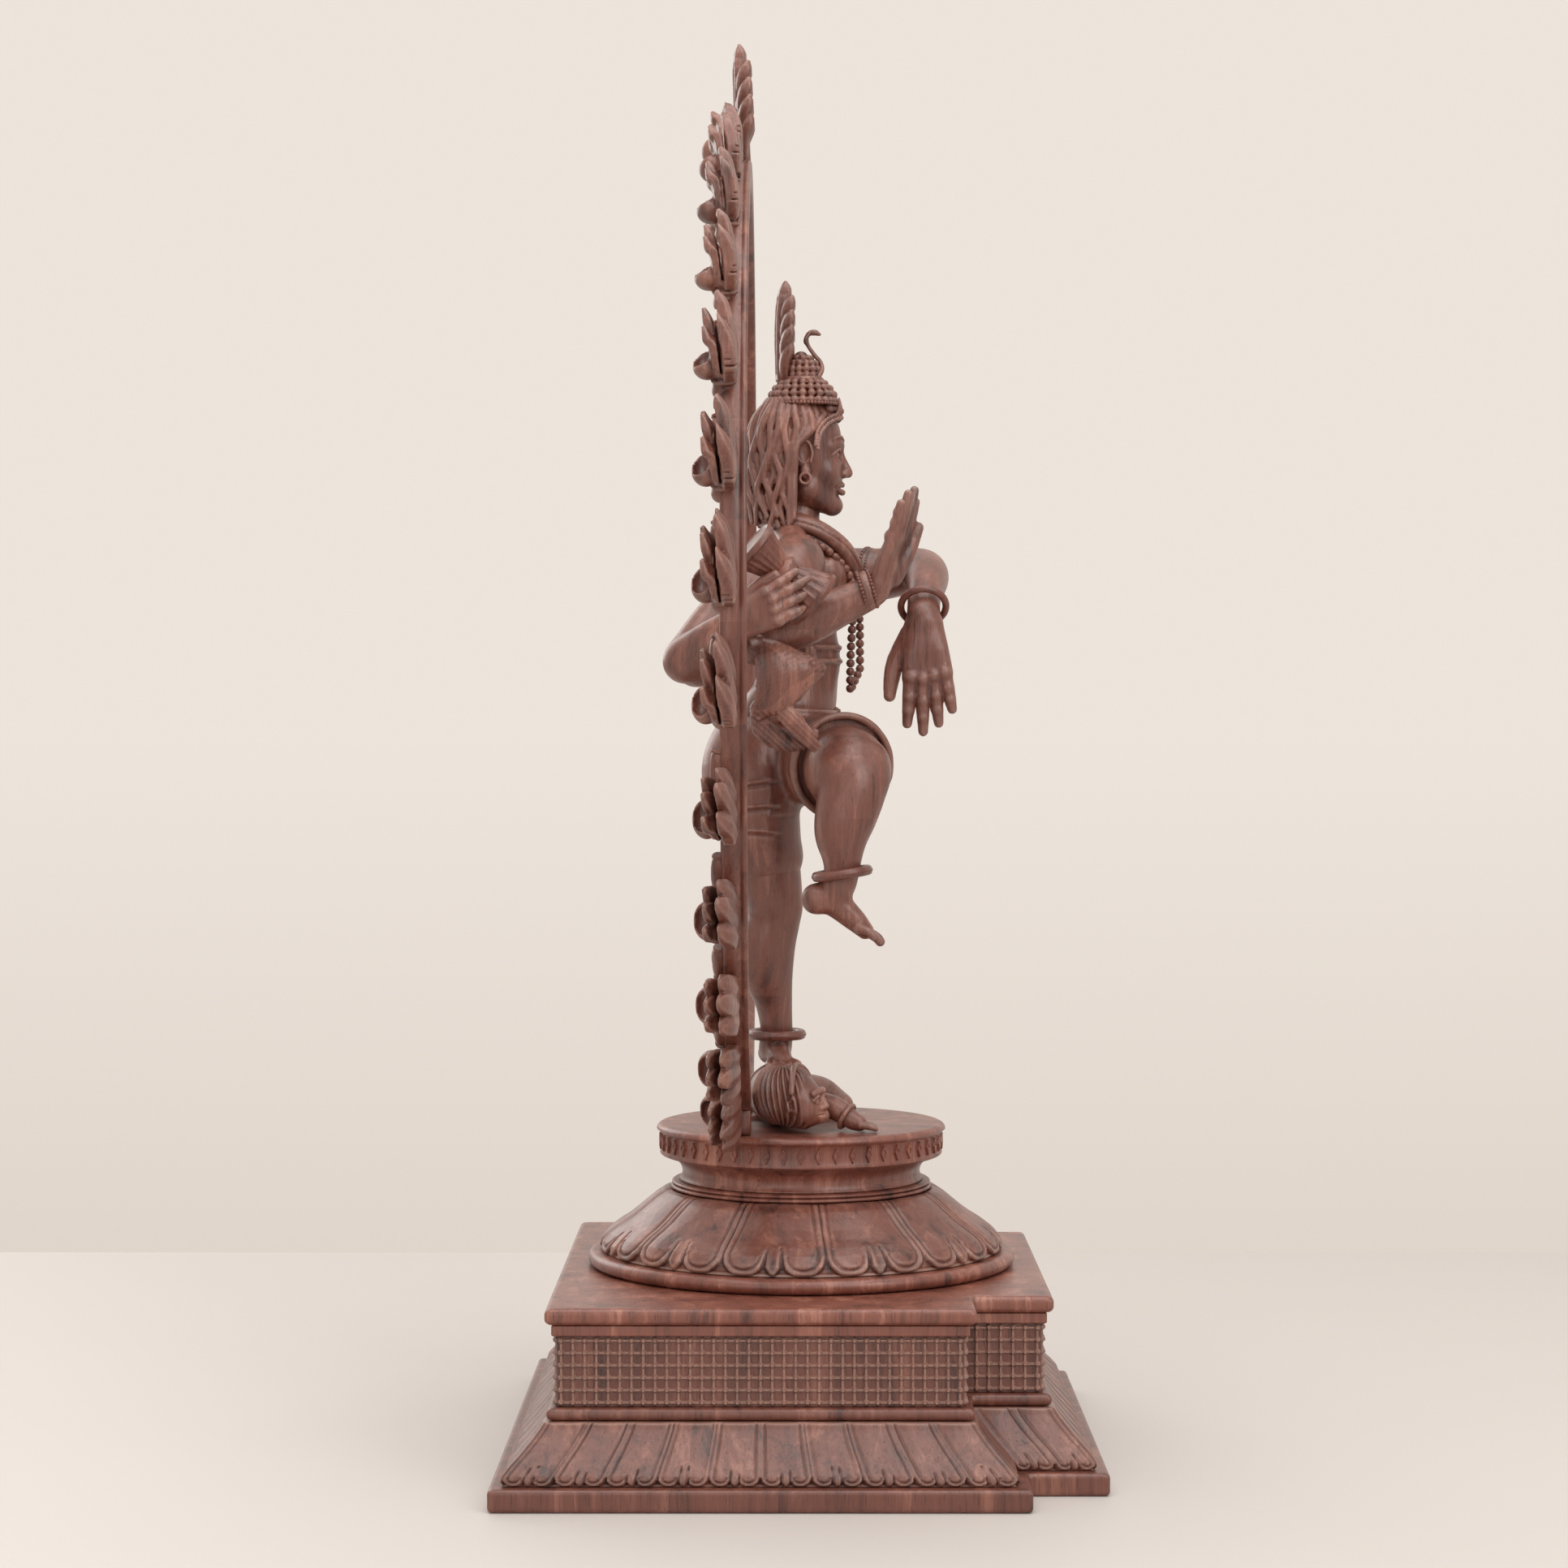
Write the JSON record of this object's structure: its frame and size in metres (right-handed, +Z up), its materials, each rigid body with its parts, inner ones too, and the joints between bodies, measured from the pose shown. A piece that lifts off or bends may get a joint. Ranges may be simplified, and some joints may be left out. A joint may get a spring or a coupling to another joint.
{
  "type": "carved dancing figure statue",
  "caption": "Carved dark wood statue of a four-armed dancing figure in a ring of flames, on a round lotus pedestal and a notched rectangular plinth.",
  "frame": {"origin": "centre of the underside of the plinth", "axes": "+Z up; the figure faces -Y; its own right side is -X"},
  "size_m": [0.6766, 0.376, 0.914],
  "materials": {
    "carved_wood": "satin oiled dark red hardwood",
    "plinth_wood": "satin oiled dark red hardwood, vertical grain strips",
    "turned_wood": "satin oiled dark red hardwood, turned",
    "ring_wood": "satin dark red hardwood",
    "dowel_wood": "plain unfinished hardwood"
  },
  "bodies": {
    "statue": {"plinth_slab": "plinth_wood", "petal_frieze": "plinth_wood", "bead_moulding": "plinth_wood", "plinth_core": "plinth_wood", "lattice_front": "plinth_wood", "lattice_back": "plinth_wood", "lattice_right": "plinth_wood", "lattice_left": "plinth_wood", "plinth_fillet": "plinth_wood", "plinth_cap": "plinth_wood", "lotus_ring": "turned_wood", "lotus_dome": "turned_wood", "neck_ring": "turned_wood", "pedestal_bowl": "turned_wood", "pedestal_disc": "turned_wood", "pedestal_dowel": "dowel_wood", "ring_upper_right": "carved_wood", "ring_lower_right": "carved_wood", "ring_foot_right": "carved_wood", "ring_tenon_right": "dowel_wood", "flames_upper_right": "carved_wood", "flames_middle_right": "carved_wood", "flames_lower_right": "carved_wood", "ring_upper_left": "carved_wood", "ring_lower_left": "carved_wood", "ring_foot_left": "carved_wood", "ring_tenon_left": "dowel_wood", "flames_upper_left": "carved_wood", "flames_middle_left": "carved_wood", "flames_lower_left": "carved_wood", "flame_crest": "carved_wood", "dwarf_body": "carved_wood", "dwarf_head": "carved_wood", "dwarf_arm": "carved_wood", "loincloth": "carved_wood", "torso": "carved_wood", "head": "carved_wood", "standing_leg": "carved_wood", "raised_leg": "carved_wood", "right_front_arm": "carved_wood", "left_front_arm": "carved_wood", "right_back_arm": "carved_wood", "left_back_arm": "carved_wood", "figure_dowel": "dowel_wood", "hip_belt": "carved_wood", "scarf": "carved_wood", "bead_garland": "carved_wood", "hair_locks": "carved_wood", "hair_crown": "carved_wood", "diadem": "carved_wood", "crest_plume": "carved_wood", "crown_snake": "carved_wood", "right_bracelet": "carved_wood", "left_armlet": "carved_wood", "hand_drum": "carved_wood", "hand_flame": "carved_wood", "forearm_cobra": "carved_wood"},
    "standing_anklet": {"standing_anklet": "ring_wood"},
    "raised_anklet": {"raised_anklet": "ring_wood"},
    "wrist_bangle": {"wrist_bangle": "ring_wood"}
  },
  "joints": [
    {"name": "standing_anklet_turn", "type": "hinge", "parent": "statue", "child": "standing_anklet", "pos_m": [-0.011, 0.016, 0.268], "axis": [0, 0, 1], "continuous": true},
    {"name": "raised_anklet_turn", "type": "hinge", "parent": "statue", "child": "raised_anklet", "pos_m": [-0.1, -0.0255, 0.377], "axis": [0, 0.1392, 0.9903], "continuous": true},
    {"name": "wrist_bangle_turn", "type": "hinge", "parent": "statue", "child": "wrist_bangle", "pos_m": [-0.03, -0.079, 0.5465], "axis": [0.7604, 0, 0.6494], "continuous": true}
  ]
}
